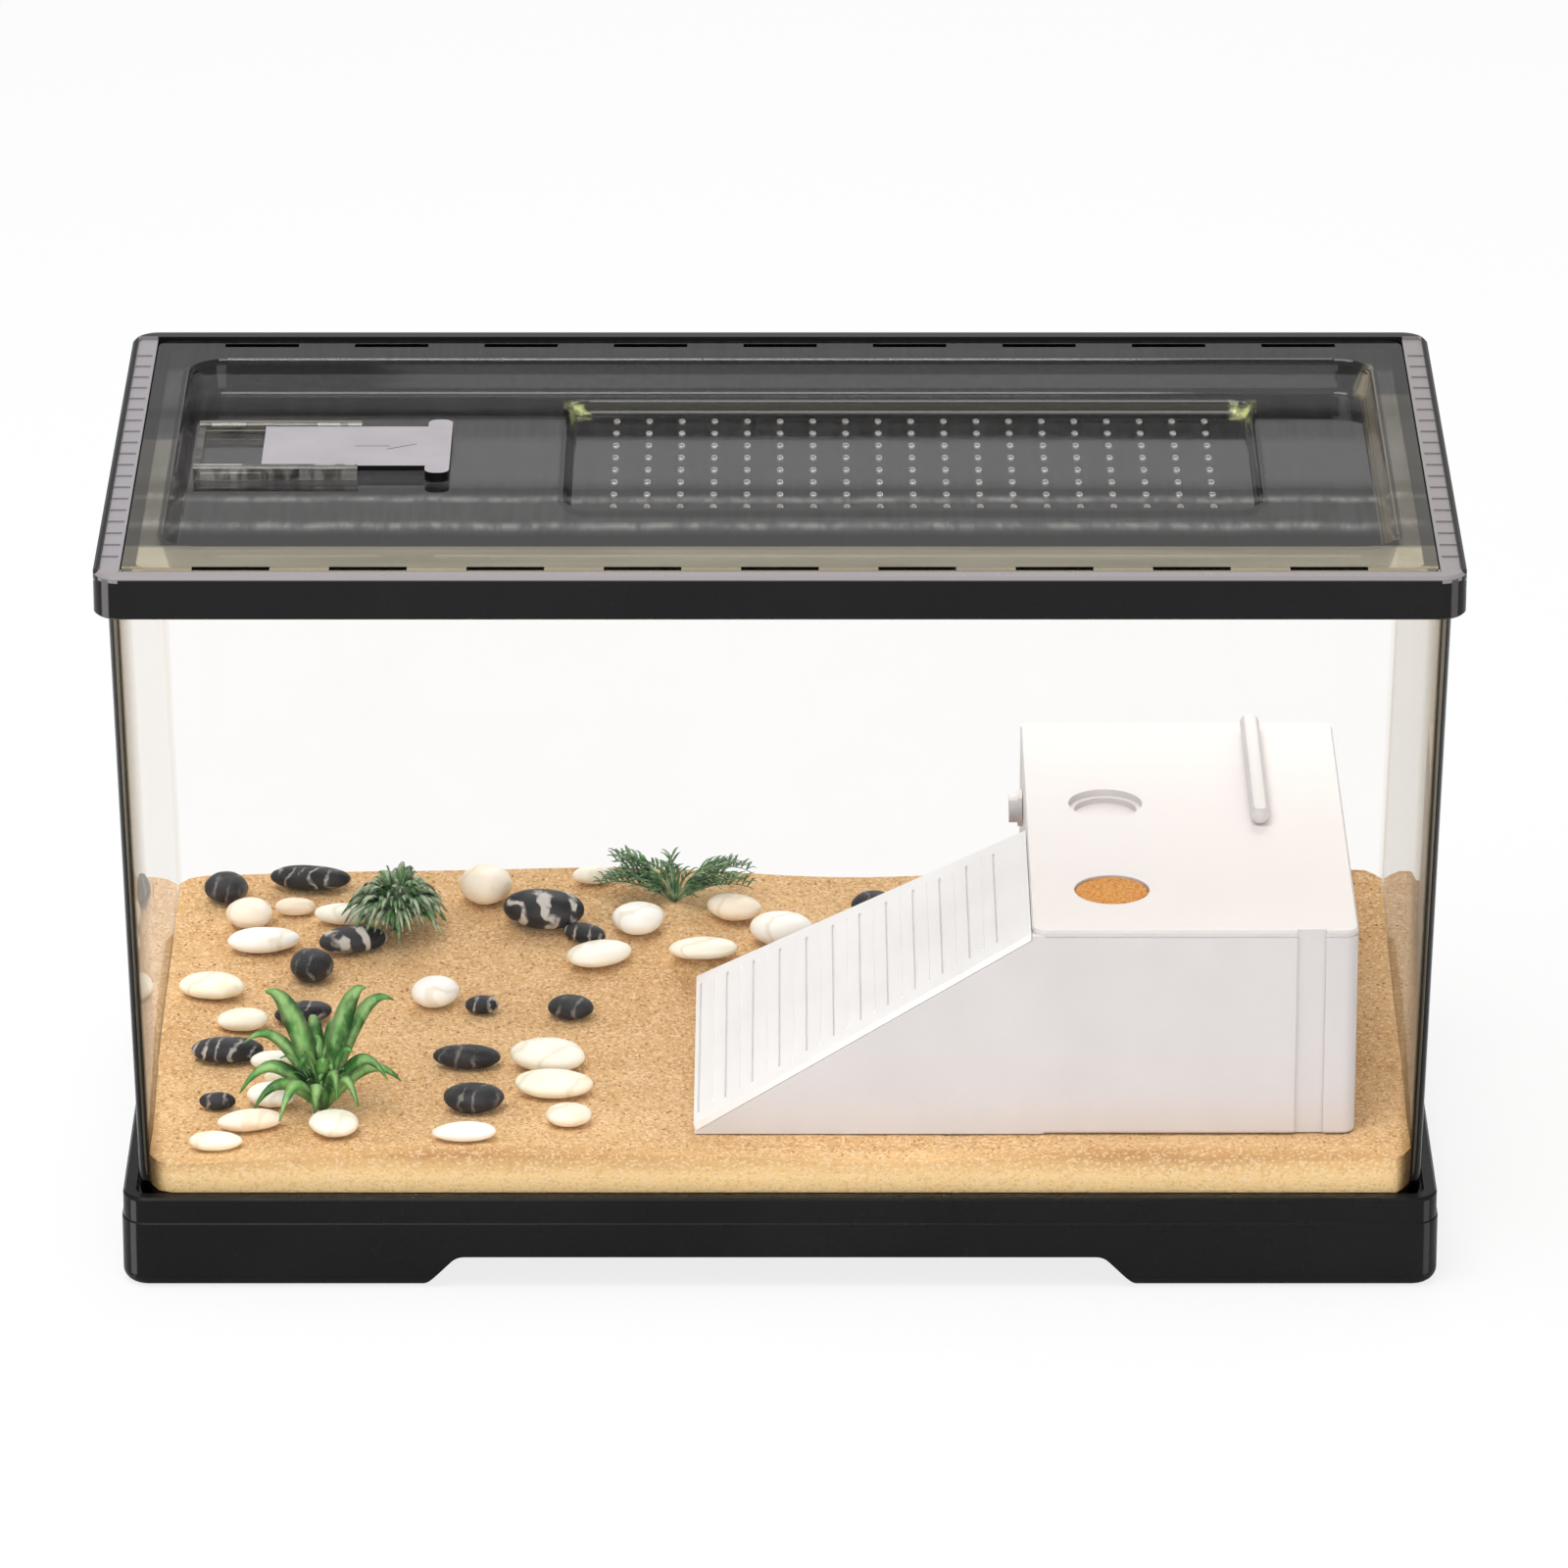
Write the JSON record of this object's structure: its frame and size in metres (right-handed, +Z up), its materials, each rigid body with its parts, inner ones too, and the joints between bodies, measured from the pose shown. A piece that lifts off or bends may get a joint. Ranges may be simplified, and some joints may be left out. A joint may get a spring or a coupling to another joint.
{
  "type": "turtle tank",
  "caption": "Clear turtle tank in a black base and top frame, with a vented lid and sliding feeding hatch, white basking platform with ramp, sand, pebbles and plants.",
  "frame": {"origin": "on the table under the middle of the tank, at the bottom centre of the whole part", "axes": "+X to the right along the long side as seen from the front, -Y to the front, +Z up"},
  "size_m": [0.6, 0.32, 0.343],
  "materials": {
    "black_plastic": "glossy black",
    "clear_plastic": "clear, faintly warm",
    "smoke_plastic": "see-through smoke grey",
    "guide_plastic": "see-through, pale",
    "hatch_plastic": "pale grey",
    "white_plastic": "smooth white",
    "ramp_plastic": "satin white",
    "dark_plastic": "matt black",
    "sponge": "open filter foam",
    "feed": "dry feed pellets",
    "sand": "loose sand",
    "white_stone": "water-worn, satin",
    "black_stone": "water-worn, satin, pale veins",
    "grass_leaves": "soft plastic leaves",
    "needle_leaves": "soft plastic leaves",
    "broad_leaves": "soft plastic leaves"
  },
  "bodies": {
    "tank": {"base_tray": "black_plastic", "tank_body": "clear_plastic", "top_frame": "black_plastic", "lid_panel": "smoke_plastic", "hatch_guide": "guide_plastic", "platform_box": "white_plastic", "platform_cover": "white_plastic", "ramp_board": "ramp_plastic", "outlet_spout": "white_plastic", "outlet_pipe": "dark_plastic", "pump_body": "dark_plastic", "pump_grille": "dark_plastic", "filter_sponge": "sponge", "top_tube": "white_plastic", "feed_pellets": "feed", "sand_bed": "sand", "grass_plant": "grass_leaves", "needle_plant": "needle_leaves", "broad_leaf_plant": "broad_leaves", "white_pebble_1": "white_stone", "white_pebble_2": "white_stone", "white_pebble_3": "white_stone", "white_pebble_4": "white_stone", "white_pebble_5": "white_stone", "white_pebble_6": "white_stone", "white_pebble_7": "white_stone", "white_pebble_8": "white_stone", "white_pebble_9": "white_stone", "white_pebble_10": "white_stone", "white_pebble_11": "white_stone", "white_pebble_12": "white_stone", "white_pebble_13": "white_stone", "white_pebble_14": "white_stone", "white_pebble_15": "white_stone", "white_pebble_16": "white_stone", "white_pebble_17": "white_stone", "white_pebble_18": "white_stone", "white_pebble_19": "white_stone", "white_pebble_20": "white_stone", "white_pebble_21": "white_stone", "white_pebble_22": "white_stone", "white_pebble_23": "white_stone", "white_pebble_24": "white_stone", "black_pebble_1": "black_stone", "black_pebble_2": "black_stone", "black_pebble_3": "black_stone", "black_pebble_4": "black_stone", "black_pebble_5": "black_stone", "black_pebble_6": "black_stone", "black_pebble_7": "black_stone", "black_pebble_8": "black_stone", "black_pebble_9": "black_stone", "black_pebble_10": "black_stone", "black_pebble_11": "black_stone", "black_pebble_12": "black_stone", "black_pebble_13": "black_stone", "black_pebble_14": "black_stone"},
    "hatch": {"hatch_cover": "hatch_plastic"}
  },
  "joints": [
    {"name": "hatch_slide", "type": "slide", "parent": "tank", "child": "hatch", "axis": [1, 0, 0], "range_m": [-0.027, 0.03]}
  ]
}
